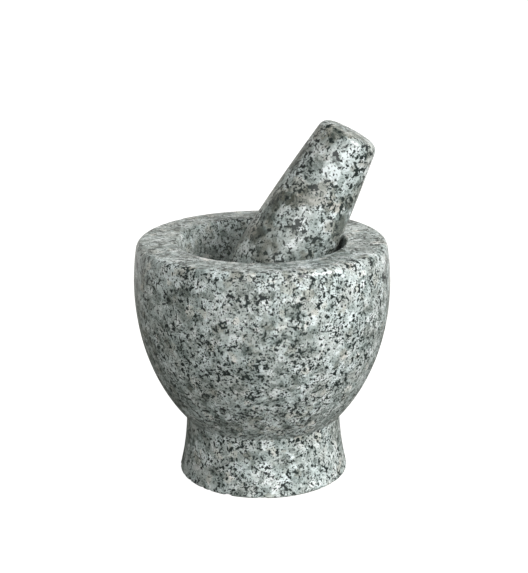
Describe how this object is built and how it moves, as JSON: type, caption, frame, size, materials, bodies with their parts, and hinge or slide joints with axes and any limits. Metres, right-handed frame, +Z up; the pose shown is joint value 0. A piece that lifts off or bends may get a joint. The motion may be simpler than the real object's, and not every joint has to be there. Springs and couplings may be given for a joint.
{
  "type": "mortar and pestle",
  "caption": "Small polished granite mortar with a footed egg-shaped bowl, and a tapered granite pestle that stands in it and lifts out.",
  "frame": {"origin": "centre of the mortar foot's flat underside", "axes": "+Z up along the mortar's axis, +X towards the side that the pestle leans to, +Y away from the front"},
  "size_m": [0.1, 0.1, 0.1394],
  "materials": {
    "mortar_granite": "light grey speckled granite, polished to a satin gloss",
    "pestle_granite": "light grey coarse speckled granite, polished to a satin gloss"
  },
  "bodies": {
    "mortar": {"mortar": "mortar_granite"},
    "pestle": {"pestle": "pestle_granite"}
  },
  "joints": [
    {"name": "pestle_lift", "type": "slide", "parent": "mortar", "child": "pestle", "axis": [0, 0, 1], "range_m": [0, 0.08]}
  ]
}
